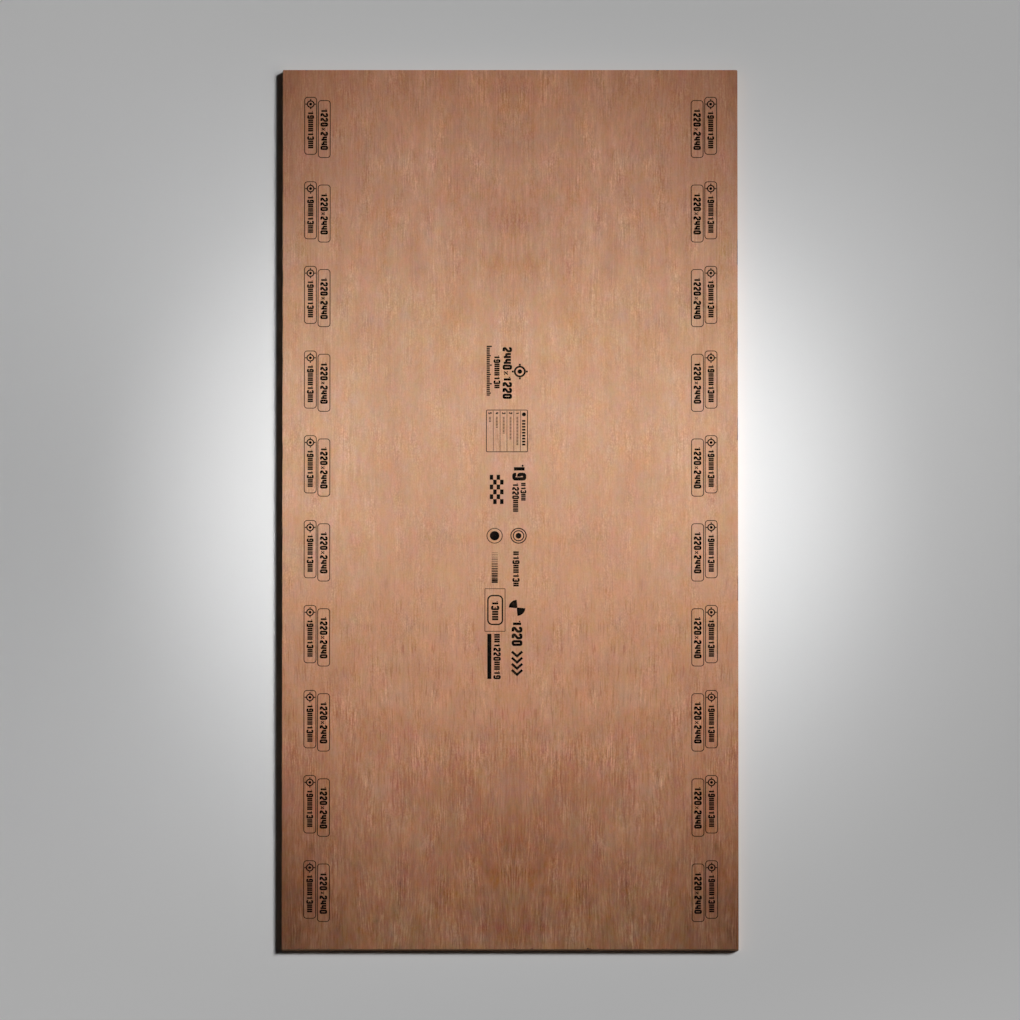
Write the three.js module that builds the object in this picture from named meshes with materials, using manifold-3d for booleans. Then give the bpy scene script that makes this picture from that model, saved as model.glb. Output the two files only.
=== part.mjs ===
// A sheet of hardwood-faced plywood in its standard trade size, lying flat.
//
// Frame: X runs across the sheet, Y along it with the face grain, and Z up through its thickness.
// The origin is the centre of the underside. All sizes are in millimetres.
//
// The sheet is one bonded piece. Its plies show only at the four sawn edges. Each ply's grain is
// square to the next one's, so an edge shows end grain and side grain by turns. Side grain shrinks
// back from the saw cut as the sheet dries, and end grain doesn't, so every other ply stands back.
import * as THREE from "three";
import { mergeVertices } from "three/addons/utils/BufferGeometryUtils.js";
import Module from "manifold-3d";

// The sheet.
const sheetLength = 2440;
const sheetWidth = 1220;
const sheetThickness = 19;

// The lay-up, counted from the underside: an odd number of plies, with a thin veneer on each face.
const plyCount = 13;
const faceVeneer = 0.5;
const glueLine = 0.1; // the bond between two plies, over which the sawn edge steps in or out

// The sawn edges.
const sideGrainRelief = 0.2; // how far a ply of side grain stands back from the saw cut
const arrisEasing = 0.3; // the sanded edge between a face and a saw cut, measured along each

const coreVeneer = (sheetThickness - 2 * faceVeneer) / (plyCount - 2);
const cutterOverlap = 10; // how far each extrusion runs past the edges that the other one cuts

const veneerMaterial = new THREE.MeshStandardMaterial({
  name: "hardwood_veneer",
  color: 0xc99b7b,
  roughness: 0.72,
  metalness: 0,
});

// The plies in order, each with its own lower and upper level. The face veneers and every second
// ply from them run lengthwise, and the crossbands between them run across the sheet.
function layUp() {
  const plies = [];
  let level = 0;
  for (let i = 0; i < plyCount; i++) {
    const isFace = i === 0 || i === plyCount - 1;
    const bottom = level;
    level = bottom + (isFace ? faceVeneer : coreVeneer);
    plies.push({ bottom, top: level, grain: i % 2 === 0 ? "lengthwise" : "crosswise" });
  }
  return plies;
}

// The outline of the sheet seen along one pair of its edges. A ply whose grain runs along those
// edges shows side grain there, so it stands back by the relief.
function edgeSection(span, edgesRun) {
  const half = span / 2;
  const side = [];
  for (const ply of layUp()) {
    const reach = half - (ply.grain === edgesRun ? sideGrainRelief : 0);
    side.push(new THREE.Vector2(reach, ply.bottom + glueLine / 2));
    side.push(new THREE.Vector2(reach, ply.top - glueLine / 2));
  }
  const lowest = side[0];
  const highest = side[side.length - 1];
  lowest.y = arrisEasing;
  highest.y = sheetThickness - arrisEasing;
  side.unshift(new THREE.Vector2(lowest.x - arrisEasing, 0));
  side.push(new THREE.Vector2(highest.x - arrisEasing, sheetThickness));
  const otherSide = side.map((point) => new THREE.Vector2(-point.x, point.y)).reverse();
  return new THREE.Shape([...side, ...otherSide]);
}

// A section extruded both ways from the middle of the sheet. Its width lies along the given axis,
// and its height is up.
function extrudeSection(section, widthAxis, length) {
  const geometry = new THREE.ExtrudeGeometry(section, { depth: length, bevelEnabled: false });
  geometry.translate(0, 0, -length / 2);
  const up = new THREE.Vector3(0, 0, 1);
  const lengthAxis = widthAxis.clone().cross(up);
  return geometry.applyMatrix4(new THREE.Matrix4().makeBasis(widthAxis, up, lengthAxis));
}

const wasm = await Module();
wasm.setup();

function solidFromGeometry(geometry) {
  const bare = geometry.clone();
  bare.deleteAttribute("normal");
  bare.deleteAttribute("uv");
  const merged = mergeVertices(bare);
  return new wasm.Manifold(
    new wasm.Mesh({
      numProp: 3,
      vertProperties: merged.attributes.position.array,
      triVerts: new Uint32Array(merged.index.array),
    }),
  );
}

function geometryFromSolid(solid) {
  const mesh = solid.getMesh();
  const geometry = new THREE.BufferGeometry();
  geometry.setAttribute("position", new THREE.BufferAttribute(mesh.vertProperties, mesh.numProp));
  geometry.setIndex(new THREE.BufferAttribute(mesh.triVerts, 1));
  geometry.computeVertexNormals();
  return geometry;
}

// The long edges come from the section across the sheet, and the ends from the section along it.
// What both extrusions hold is the sheet, with the ply relief on all four edges.
function plywoodSheet() {
  const across = new THREE.Vector3(1, 0, 0);
  const along = new THREE.Vector3(0, 1, 0);
  const longEdges = edgeSection(sheetWidth, "lengthwise");
  const ends = edgeSection(sheetLength, "crosswise");
  const widthCut = extrudeSection(longEdges, across, sheetLength + cutterOverlap);
  const lengthCut = extrudeSection(ends, along, sheetWidth + cutterOverlap);
  const solid = solidFromGeometry(widthCut).intersect(solidFromGeometry(lengthCut));
  const sheet = new THREE.Mesh(geometryFromSolid(solid), veneerMaterial);
  sheet.name = "plywood_sheet";
  return sheet;
}

const part = new THREE.Group();
part.add(plywoodSheet());

export default part;
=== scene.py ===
# A hardwood plywood sheet in trade size, lying face up on a studio floor.
# Lengths are in metres. X runs across the sheet, Y along its face grain, and Z up.
from math import acos, ceil, cos, pi, radians, sin, tan

import bpy
import numpy as np
from mathutils import Matrix, Vector


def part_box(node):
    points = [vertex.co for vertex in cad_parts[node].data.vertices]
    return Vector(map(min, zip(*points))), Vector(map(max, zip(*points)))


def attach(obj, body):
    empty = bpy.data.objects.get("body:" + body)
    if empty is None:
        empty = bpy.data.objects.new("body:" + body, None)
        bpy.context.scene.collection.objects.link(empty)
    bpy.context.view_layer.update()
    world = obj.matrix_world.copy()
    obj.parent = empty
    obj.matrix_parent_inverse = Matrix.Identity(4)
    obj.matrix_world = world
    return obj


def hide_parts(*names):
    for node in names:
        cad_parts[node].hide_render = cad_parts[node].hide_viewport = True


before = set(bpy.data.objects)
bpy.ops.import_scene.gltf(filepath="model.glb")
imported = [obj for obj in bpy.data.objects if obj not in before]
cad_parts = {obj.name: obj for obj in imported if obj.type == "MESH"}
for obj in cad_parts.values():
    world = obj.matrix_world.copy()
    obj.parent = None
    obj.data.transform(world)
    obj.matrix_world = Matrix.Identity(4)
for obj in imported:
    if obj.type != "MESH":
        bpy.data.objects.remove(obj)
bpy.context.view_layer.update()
halfWidth, halfLength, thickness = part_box("plywood_sheet")[1]  # it lies centred on the origin
print("frame loaded, sheet", round(2 * halfWidth, 4), round(2 * halfLength, 4), round(thickness, 4))


def addObject(name, data):
    made = bpy.data.objects.new(name, data)
    bpy.context.scene.collection.objects.link(made)
    return made


def makeMesh(name, points, faces, materials):
    mesh = bpy.data.meshes.new(name)
    mesh.from_pydata(points, [], faces)
    for material in materials:
        mesh.materials.append(material)
    return mesh


cameraSetup = {
    "framePixels": 1020,
    "leftEdge": 282.25,  # where the top face's sides fall in the frame, in pixels
    "rightEdge": 738.0,
    "farEdge": 70.0,
    "nearEdge": 949.2,
    "lens": 1500.0,  # mm, long enough that the far end looks no narrower than the near one
    "sensor": 36.0,  # mm
    "clip": (0.5, 400.0),
}


def makeCamera(setup):
    metresPerPixel = 2 * halfWidth / (setup["rightEdge"] - setup["leftEdge"])
    seenLength = (setup["nearEdge"] - setup["farEdge"]) * metresPerPixel
    tilt = acos(seenLength / (2 * halfLength))  # from straight down, towards the near end
    frameWidth = setup["framePixels"] * metresPerPixel
    distance = frameWidth * setup["lens"] / setup["sensor"]
    middle = setup["framePixels"] / 2
    right = middle - (setup["leftEdge"] + setup["rightEdge"]) / 2
    down = middle - (setup["farEdge"] + setup["nearEdge"]) / 2
    nearBulge = halfLength ** 2 * sin(tilt) / distance  # the near half looks longer than the far one
    aim = Vector((right * metresPerPixel, -down * metresPerPixel / cos(tilt) - nearBulge, thickness))
    data = bpy.data.cameras.new("studioCamera")
    data.lens = setup["lens"]
    data.sensor_width = setup["sensor"]
    data.clip_start, data.clip_end = setup["clip"]
    camera = addObject("studioCamera", data)
    camera.location = aim + distance * Vector((0, -sin(tilt), cos(tilt)))
    camera.rotation_euler = (tilt, 0, 0)
    bpy.context.scene.camera = camera


makeCamera(cameraSetup)
bpy.context.scene.view_settings.view_transform = "Standard"
print("camera placed")


# Helpers for node trees. A value may be a plain number or colour, or another node's socket.

def feed(tree, node, values):
    for key, value in values.items():
        if isinstance(value, bpy.types.NodeSocket):
            tree.links.new(value, node.inputs[key])
        else:
            node.inputs[key].default_value = value


def addNode(tree, kind, values=None, **settings):
    node = tree.nodes.new(kind)
    for name, value in settings.items():
        setattr(node, name, value)
    feed(tree, node, values or {})
    return node


def maths(tree, operation, first, second=0.0, third=0.0):
    values = {0: first, 1: second, 2: third}
    return addNode(tree, "ShaderNodeMath", values, operation=operation).outputs[0]


def mixIn(tree, base, part, amount):  # the base plus the part times the amount
    return maths(tree, "MULTIPLY_ADD", part, amount, base)


def remap(tree, value, low, high, toLow=0.0, toHigh=1.0):
    values = {"Value": value, "From Min": low, "From Max": high, "To Min": toLow, "To Max": toHigh}
    return addNode(tree, "ShaderNodeMapRange", values, interpolation_type="SMOOTHSTEP").outputs[0]


def levelAt(tree, share, stops):  # a number that changes with the share, through (share, number) stops
    node = addNode(tree, "ShaderNodeValToRGB", {"Fac": share})
    elements = node.color_ramp.elements
    while len(elements) < len(stops):
        elements.new(0.5)
    for element, (position, level) in zip(elements, stops):
        element.position = position
        element.color = (level, level, level, 1)
    return node.outputs["Color"]


def blendColour(tree, share, first, second):
    node = addNode(tree, "ShaderNodeMix", data_type="RGBA")
    feed(tree, node, {0: share, 6: first, 7: second})
    return node.outputs[2]


def vectorMaths(tree, operation, *values):
    node = addNode(tree, "ShaderNodeVectorMath", operation=operation)
    feed(tree, node, dict(enumerate(values)))
    return node.outputs[0]


def filtered(tree, shade, steps):  # a shade laid over itself that many times
    return addNode(tree, "ShaderNodeGamma", {0: (*shade, 1), 1: steps}).outputs[0]


def objectPlace(tree):
    return addNode(tree, "ShaderNodeTexCoord").outputs["Object"]


def objectAxes(tree):  # the same place as three numbers
    return addNode(tree, "ShaderNodeSeparateXYZ", {0: objectPlace(tree)}).outputs


def noiseAt(tree, place, octaves, coarse=0.5):  # noise round zero, in cells of one unit
    spot = addNode(tree, "ShaderNodeCombineXYZ", dict(enumerate(place))).outputs[0]
    values = {"Vector": spot, "Scale": 1.0, "Detail": octaves, "Roughness": coarse}
    return maths(tree, "SUBTRACT", addNode(tree, "ShaderNodeTexNoise", values).outputs["Fac"], 0.5)


def patchesAt(tree, perMetre, octaves):  # soft noise from 0 to 1
    values = {"Vector": objectPlace(tree), "Scale": perMetre, "Detail": octaves}
    return addNode(tree, "ShaderNodeTexNoise", values).outputs["Fac"]


def bumpFrom(tree, height, strength, distance):
    values = {"Height": height, "Strength": strength, "Distance": distance}
    return addNode(tree, "ShaderNodeBump", values).outputs[0]


def newMaterial(name):
    material = bpy.data.materials.new(name)
    material.use_nodes = True
    tree = material.node_tree
    return material, tree, tree.nodes["Principled BSDF"]


studio = {
    "sunAzimuth": 27.0,  # degrees from +X towards +Y
    "sunElevation": 40.0,
    "sunAngle": 15.0,
    "sunLight": 0.42,  # what a lamp adds to a white surface in the middle, of 1
    "poolAzimuth": 1.0,
    "poolElevation": 41.0,
    "poolDistance": 5.0,
    "poolAim": (-0.12, 0.14, 0.0),
    "poolSize": (1.1, 1.4),
    "poolSpread": 28.0,
    "poolLight": 0.57,
    "poolPowerForOne": 12.3,  # watts that light a white surface to 1 at that distance and spread
    "skyLight": 0.006,
    "horizon": (0.40, 0.40, 0.40),
    "floorSize": 400.0,
    "floorGap": 0.0002,
    # the floor's colour is a painted glow: pale near the sheet and darker further out
    "floorNear": 0.95,
    "floorFar": 0.83,
    "floorFade": (0.57, 1.17),  # how far from the middle the one gives way to the other
    # painted shade beside the sheet's long edges
    "floorSidesDip": 0.23,
    "floorLean": (0.023, -0.06),  # painted light towards +X, and painted shade beyond the far end
    "floorRise": 0.12,  # painted light again well away from the sheet
    "floorRiseReach": (1.18, 2.1),
    "floorRoughness": 0.9,
}


def placeLamp(name, kind, azimuth, elevation, distance=1.0, aim=(0, 0, 0)):
    azimuth, elevation = radians(azimuth), radians(elevation)
    level = cos(elevation)
    direction = Vector((cos(azimuth) * level, sin(azimuth) * level, sin(elevation)))
    lamp = addObject(name, bpy.data.lights.new(name, kind))
    lamp.location = Vector(aim) + direction * distance
    lamp.rotation_euler = direction.to_track_quat("Z", "Y").to_euler()
    return lamp.data


def makeLamps(setup):
    sun = placeLamp("broadLamp", "SUN", setup["sunAzimuth"], setup["sunElevation"])
    sun.angle = radians(setup["sunAngle"])
    sun.energy = setup["sunLight"] * pi / sin(radians(setup["sunElevation"]))
    pool = placeLamp("poolLamp", "AREA", setup["poolAzimuth"], setup["poolElevation"],
                     setup["poolDistance"], setup["poolAim"])
    pool.shape = "RECTANGLE"
    pool.size, pool.size_y = setup["poolSize"]
    pool.spread = radians(setup["poolSpread"])
    pool.energy = setup["poolLight"] * setup["poolPowerForOne"]


def makeWorld(setup):  # a faint sky lights the sheet, and a plain backdrop is what rays see
    world = bpy.data.worlds.new("studioWorld")
    world.use_nodes = True
    tree = world.node_tree
    tree.nodes.clear()
    rays = addNode(tree, "ShaderNodeLightPath").outputs
    seen = maths(tree, "MAXIMUM", rays["Is Camera Ray"], rays["Is Glossy Ray"])
    seen = maths(tree, "MAXIMUM", seen, rays["Is Transmission Ray"])
    sky = addNode(tree, "ShaderNodeBackground", {"Color": (1, 1, 1, 1), "Strength": setup["skyLight"]})
    backdrop = addNode(tree, "ShaderNodeBackground", {"Color": (*setup["horizon"], 1)})
    mix = addNode(tree, "ShaderNodeMixShader", {0: seen, 1: sky.outputs[0], 2: backdrop.outputs[0]})
    addNode(tree, "ShaderNodeOutputWorld", {"Surface": mix.outputs[0]})
    bpy.context.scene.world = world


def floorPaintedGlow(setup):  # a painted glow, pale under the sheet, with painted shade round it, most of all beside its long edges
    material, tree, shader = newMaterial("floorPaintedGlow")
    place = objectAxes(tree)
    sideways = maths(tree, "POWER", place[0], 2.0)
    away = mixIn(tree, sideways, place[1], place[1])
    beside = maths(tree, "POWER", maths(tree, "DIVIDE", sideways, away), 2.0)
    away = maths(tree, "SQRT", away)
    far = mixIn(tree, setup["floorFar"], beside, -setup["floorSidesDip"])
    for axis, lean in enumerate(setup["floorLean"]):
        far = mixIn(tree, far, maths(tree, "DIVIDE", place[axis], away), lean)
    rise = remap(tree, away, *setup["floorRiseReach"], 0.0, setup["floorRise"])
    grey = remap(tree, away, *setup["floorFade"], setup["floorNear"], maths(tree, "ADD", far, rise))
    colour = addNode(tree, "ShaderNodeCombineColor", {0: grey, 1: grey, 2: grey}).outputs[0]
    feed(tree, shader, {"Base Color": colour, "Roughness": setup["floorRoughness"],
                        "Specular IOR Level": 0.0})
    return material


def makeFloor(setup):
    half = setup["floorSize"] / 2
    level = -setup["floorGap"]
    corners = [(-half, -half, level), (half, -half, level), (half, half, level), (-half, half, level)]
    mesh = makeMesh("studioFloor", corners, [(0, 1, 2, 3)], [floorPaintedGlow(setup)])
    addObject("studioFloor", mesh)


makeLamps(studio)
makeWorld(studio)
makeFloor(studio)
print("studio lit")


# The veneer of the two faces. Noise is given as the width and length of its cells, its octaves and its
# seed. What changes along the sheet is given as stops, from its near end at 0 to its far one at 1.

faceLook = {
    "seam": 0.009,  # where the two book-matched leaves meet, in X
    "warp": 0.028,  # how far the grain wanders from a straight line
    "seed": 3.0,
    "wood": (0.702, 0.405, 0.275),  # at its palest
    "fineGrain": [  # noise and strength
        (0.0031, 0.031, 1.0, 5.3, 0.78),
        (0.0029, 0.280, 0.0, 21.2, 0.40),
    ],
    "streaks": [
        (0.0100, 0.070, 1.0, 10.6, 0.36),
        (0.0600, 0.140, 2.0, 15.9, 0.76),
    ],
    "strength": [(0.0, 1.25), (0.28, 0.55), (0.4, 0.33), (0.62, 0.31), (0.8, 0.50), (1.0, 0.61)],
    "zones": (0.046, 0.125, 1.0, 13.0, 3.6),  # noise, and how far strong and calm fine grain lie apart
    "fibre": 0.22,
    "speckle": 0.24,
    "dashes": [(0, 0.07), (0.15, 0.14), (0.22, 0.26), (0.34, 0.24), (0.46, 0.07), (0.8, 0.05), (1, 0.09)],
    "clouds": [  # mirrored about the seam: place out from it and along, width, length, and light or dark
        (0.000, 0.800, 0.090, 0.135, -0.165),  # the hearts of the two leaves
        (0.000, -0.960, 0.088, 0.210, -0.20),
        (0.070, 0.680, 0.080, 0.050, -0.06),
        (0.235, 0.985, 0.110, 0.110, 0.07),
        (0.340, -0.850, 0.060, 0.110, 0.09),
        (0.360, -0.970, 0.130, 0.160, 0.05),
        (0.470, -0.800, 0.040, 0.130, 0.07),
        (0.190, -0.095, 0.300, 0.050, -0.05),
        (0.200, -0.553, 0.420, 0.050, 0.05),
        (0.230, 0.570, 0.350, 0.060, -0.02),
        (0.140, 0.170, 0.020, 0.200, 0.05),
        (0.330, 0.170, 0.045, 0.200, -0.04),
        (0.440, 0.100, 0.080, 0.260, 0.08),
    ],
    "hueSwing": [(0.0, 2.0), (0.16, 1.5), (0.32, 1.05), (1.0, 1.1)],
    "hues": [  # width, length, octaves, and how far they go to red and to yellow
        (0.12, 0.22, 2.0, 0.17, 0.25),
        (0.034, 0.050, 3.0, 0.40, 0.64),
    ],
    # painted shade as well as hue: the face turns redder and darker towards both ends
    "redness": [(0, 1.05), (0.18, 1.15), (0.25, 1.0), (0.45, 0.2), (0.6, 0), (0.73, 0.1), (1, 1.05)],
    "yellowness": [(0, 1.15), (0.2, 0.5), (0.42, 0.75), (0.55, 0.6), (0.68, 0.95), (0.9, 0.05), (1, 0.6)],
    "toneAndPaintedShade": {  # painted shade, with some of the wood's own tone: darker towards both ends and most of all at the corners, down the middle of the face and at its two sides
        "middle": [(0.0, 1.20), (0.22, 0.38), (0.5, 0.59), (0.6, 0.45), (0.7, 0.46), (1.0, 0.38)],
        "left": [(0.0, 3.20), (0.22, 0.75), (0.5, 0.10), (0.6, 0.12), (0.75, 0.44), (1.0, 1.85)],
        "right": [(0.0, 2.60), (0.20, 0.52), (0.5, 0.44), (0.6, 0.45), (0.75, 0.58), (1.0, 1.42)],
    },
    "sideBend": [(0.0, 4.0), (0.5, 1.6), (1.0, 4.0)],  # a high power keeps a side's painted shade near its edge
    "roughness": 0.66,
}

backLook = {
    "seam": -0.19,
    "warp": 0.02,
    "seed": 41.0,
    "wood": (0.56, 0.345, 0.225),
    "fineGrain": [(0.0045, 0.12, 1.0, 5.3, 0.9)],
    "streaks": [
        (0.0140, 0.22, 1.0, 10.6, 0.7),
        (0.1000, 0.40, 4.0, 15.9, 0.8),
    ],
    "strength": [(0.0, 0.6), (1.0, 0.6)],
    "zones": (0.028, 0.075, 1.0, 13.0, 3.0),
    "fibre": 0.25,
    "speckle": 0.26,
    "dashes": [(0.0, 0.06), (1.0, 0.06)],
    "clouds": [
        (0.00, 0.30, 0.11, 0.36, -0.10),
        (0.38, -0.60, 0.16, 0.30, 0.07),
        (0.55, 0.75, 0.12, 0.26, -0.08),
    ],
    "hueSwing": [(0.0, 1.0), (1.0, 1.0)],
    "hues": [
        (0.16, 0.50, 4.0, 0.45, 0.6),
        (0.024, 0.050, 2.0, 0.10, 0.14),
    ],
    "redness": [(0.0, 0.1), (1.0, 0.0)],
    "yellowness": [(0.0, 0.0), (0.6, 0.2), (1.0, 0.1)],
    "toneAndPaintedShade": {
        "middle": [(0.0, 0.15), (1.0, 0.10)],
        "left": [(0.0, 0.22), (1.0, 0.20)],
        "right": [(0.0, 0.27), (1.0, 0.30)],
    },
    "sideBend": [(0.0, 3.0), (1.0, 3.0)],
    "roughness": 0.72,
}

veneerDetail = {  # what both faces share
    "drift": (0.12, 0.35, 0.0, 11.0),  # the noise of each feature
    "fibre": (0.0016, 0.03, 1.0, 23.9),
    "speckle": (0.003, 0.005, 0.0, 29.3),
    "pores": (0.00035, 0.0050, 0.0, 57.0),
    "dashes": (0.0038, 0.060, 0.0, 61.0),
    "feather": (0.010, 0.11, 1.0, 71.0),  # breaks up the clouds
    "featherSwing": 3.5,
    "hueSeeds": (31.0, 37.0),
    "hueCoarseness": 0.8,
    "leafShift": 0.05,  # sets the two leaves' noise a little apart
    "poreLimits": (0.13, 0.22),  # where one starts and where it is full, in its noise
    "dashLimits": (0.14, 0.26),
    "jointLimits": (0.0002, 0.0007),  # the same for the glued joint, in metres from the seam
    "poreTone": -0.12,
    "jointTone": -0.10,
    "poreHeight": -0.8,
    "jointHeight": -0.6,
    "poreRoughness": 0.12,
    "toneRoughness": 0.04,
    "toneShade": (0.487, 0.320, 0.247),  # one step darker, which is redder too
    "redShade": (0.93, 0.78, 0.70),  # what one step of redness, yellowness or darkness makes of the wood, where redness and darkness are partly painted shade
    "yellowShade": (1.0, 1.0, 0.90),
    "darkShade": (0.70, 0.65, 0.61),
    "hueTints": ((0.67, -0.33, -0.33), (0.04, 0.04, -0.96)),  # to red and to yellow
    "sidesMeet": 0.01,  # how far from the middle the left side's painted shade gives way to the right's
    "bump": (0.35, 0.00015),  # strength and depth
    "specular": 0.25,
}


def grainAt(tree, spot, width, length, octaves, seed, coarse=0.5):  # noise that follows the leaves
    across = maths(tree, "DIVIDE", spot["across"], width)
    along = maths(tree, "DIVIDE", spot["along"], length)
    layer = maths(tree, "ADD", spot["leaf"], spot["seed"] + seed)
    return noiseAt(tree, (across, along, layer), octaves, coarse)


def foldLeaves(tree, look, detail):  # where a point lies in the two mirrored leaves of a face
    sideways, along = objectAxes(tree)[:2]
    fromSeam = maths(tree, "SUBTRACT", sideways, look["seam"])
    folded = maths(tree, "ABSOLUTE", fromSeam)
    ends = {"Value": along, "From Min": -halfLength, "From Max": halfLength}
    share = addNode(tree, "ShaderNodeMapRange", ends).outputs[0]
    spot = {
        "sideways": sideways,
        "along": along,
        "share": share,  # of the way from the near end to the far one
        "folded": folded,
        "across": folded,
        "leaf": maths(tree, "MULTIPLY", maths(tree, "SIGN", fromSeam), detail["leafShift"]),
        "seed": look["seed"],
        "strength": levelAt(tree, share, look["strength"]),
    }
    *cell, contrast = look["zones"]
    spot["lively"] = maths(tree, "EXPONENT", maths(tree, "MULTIPLY", grainAt(tree, spot, *cell), contrast))
    drift = maths(tree, "MULTIPLY", grainAt(tree, spot, *detail["drift"]), spot["strength"])
    spot["across"] = mixIn(tree, folded, drift, look["warp"])  # from here on the grain wanders
    return spot


def cloudAt(tree, spot, out, at, width, length):  # 1 in its middle, and fading evenly all round
    beside = maths(tree, "DIVIDE", maths(tree, "SUBTRACT", spot["across"], out), width)
    beyond = maths(tree, "DIVIDE", maths(tree, "SUBTRACT", spot["along"], at), length)
    away = mixIn(tree, maths(tree, "POWER", beyond, 2.0), beside, beside)
    return maths(tree, "EXPONENT", maths(tree, "MULTIPLY", away, -1.0))


def veneerTone(tree, spot, look, detail):  # how light the wood is, and its fibre, pores and glued joint
    tone = 0.0
    for *cell, swing in look["fineGrain"]:
        tone = mixIn(tree, tone, grainAt(tree, spot, *cell), swing)
    tone = maths(tree, "MULTIPLY", tone, spot["strength"])
    fibre = grainAt(tree, spot, *detail["fibre"])
    tone = mixIn(tree, tone, fibre, look["fibre"])
    tone = mixIn(tree, tone, grainAt(tree, spot, *detail["speckle"]), look["speckle"])
    tone = maths(tree, "MULTIPLY", tone, spot["lively"])
    for *cell, swing in look["streaks"]:
        streak = maths(tree, "MULTIPLY", grainAt(tree, spot, *cell), spot["strength"])
        tone = mixIn(tree, tone, streak, swing)
    feather = mixIn(tree, 1.0, grainAt(tree, spot, *detail["feather"]), detail["featherSwing"])
    for *extent, depth in look["clouds"]:
        tone = mixIn(tree, tone, maths(tree, "MULTIPLY", cloudAt(tree, spot, *extent), feather), depth)
    pore = remap(tree, grainAt(tree, spot, *detail["pores"]), *detail["poreLimits"])
    dash = remap(tree, grainAt(tree, spot, *detail["dashes"]), *detail["dashLimits"])
    joint = remap(tree, spot["folded"], *detail["jointLimits"], 1.0, 0.0)
    dashes = maths(tree, "MULTIPLY", dash, levelAt(tree, spot["share"], look["dashes"]))
    tone = maths(tree, "SUBTRACT", tone, dashes)
    tone = mixIn(tree, tone, pore, detail["poreTone"])
    tone = mixIn(tree, tone, joint, detail["jointTone"])
    return tone, fibre, pore, joint


def toneAndPaintedShadeSteps(tree, spot, look, detail):  # steps of tone and painted shade, from the middle of the face out to its two sides
    outward = maths(tree, "DIVIDE", maths(tree, "ABSOLUTE", spot["sideways"]), halfWidth)
    outward = maths(tree, "POWER", outward, levelAt(tree, spot["share"], look["sideBend"]))
    dark = {part: levelAt(tree, spot["share"], stops) for part, stops in look["toneAndPaintedShade"].items()}
    onRight = remap(tree, spot["sideways"], -detail["sidesMeet"], detail["sidesMeet"])
    side = blendColour(tree, onRight, dark["left"], dark["right"])
    return blendColour(tree, outward, dark["middle"], side)


def veneerColour(tree, spot, tone, look, detail):
    colour = filtered(tree, detail["toneShade"], maths(tree, "MULTIPLY", tone, -1.0))
    hueSwing = levelAt(tree, spot["share"], look["hueSwing"])
    for number, (*cell, redness, yellowness) in enumerate(look["hues"]):
        for seed, tint, swing in zip(detail["hueSeeds"], detail["hueTints"], (redness, yellowness)):
            hue = grainAt(tree, spot, *cell, seed + number, detail["hueCoarseness"])
            hue = maths(tree, "MULTIPLY", hue, hueSwing)
            colour = vectorMaths(tree, "MULTIPLY_ADD", hue, [swing * part for part in tint], colour)
    colour = vectorMaths(tree, "MULTIPLY", colour, look["wood"])
    # on the face, the redness and darkness steps also paint shade towards its ends and corners
    steps = {
        "redShade": levelAt(tree, spot["share"], look["redness"]),
        "yellowShade": levelAt(tree, spot["share"], look["yellowness"]),
        "darkShade": toneAndPaintedShadeSteps(tree, spot, look, detail),
    }
    for shade, count in steps.items():
        colour = vectorMaths(tree, "MULTIPLY", colour, filtered(tree, detail[shade], count))
    return colour


def makeFigure(name, look, detail):  # the wood of one face, as a group that other materials share
    tree = bpy.data.node_groups.new(name, "ShaderNodeTree")
    for label, kind in (("Colour", "Color"), ("Height", "Float"), ("Roughness", "Float")):
        tree.interface.new_socket(label, in_out="OUTPUT", socket_type="NodeSocket" + kind)
    spot = foldLeaves(tree, look, detail)
    tone, fibre, pore, joint = veneerTone(tree, spot, look, detail)
    height = mixIn(tree, mixIn(tree, fibre, pore, detail["poreHeight"]), joint, detail["jointHeight"])
    roughness = mixIn(tree, look["roughness"], pore, detail["poreRoughness"])
    roughness = mixIn(tree, roughness, tone, detail["toneRoughness"])
    colour = veneerColour(tree, spot, tone, look, detail)
    addNode(tree, "NodeGroupOutput", {"Colour": colour, "Height": height, "Roughness": roughness})
    return tree


def veneerMaterial(name, figure, detail):
    material, tree, shader = newMaterial(name)
    wood = addNode(tree, "ShaderNodeGroup", node_tree=figure).outputs
    feed(tree, shader, {"Base Color": wood["Colour"], "Roughness": wood["Roughness"],
                        "Normal": bumpFrom(tree, wood["Height"], *detail["bump"]),
                        "Specular IOR Level": detail["specular"]})
    return material


faceFigure = makeFigure("faceFigure", faceLook, veneerDetail)
backFigure = makeFigure("backFigure", backLook, veneerDetail)
faceVeneer = veneerMaterial("faceVeneer", faceFigure, veneerDetail)
backVeneer = veneerMaterial("backVeneer", backFigure, veneerDetail)
print("veneers mixed")

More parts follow.
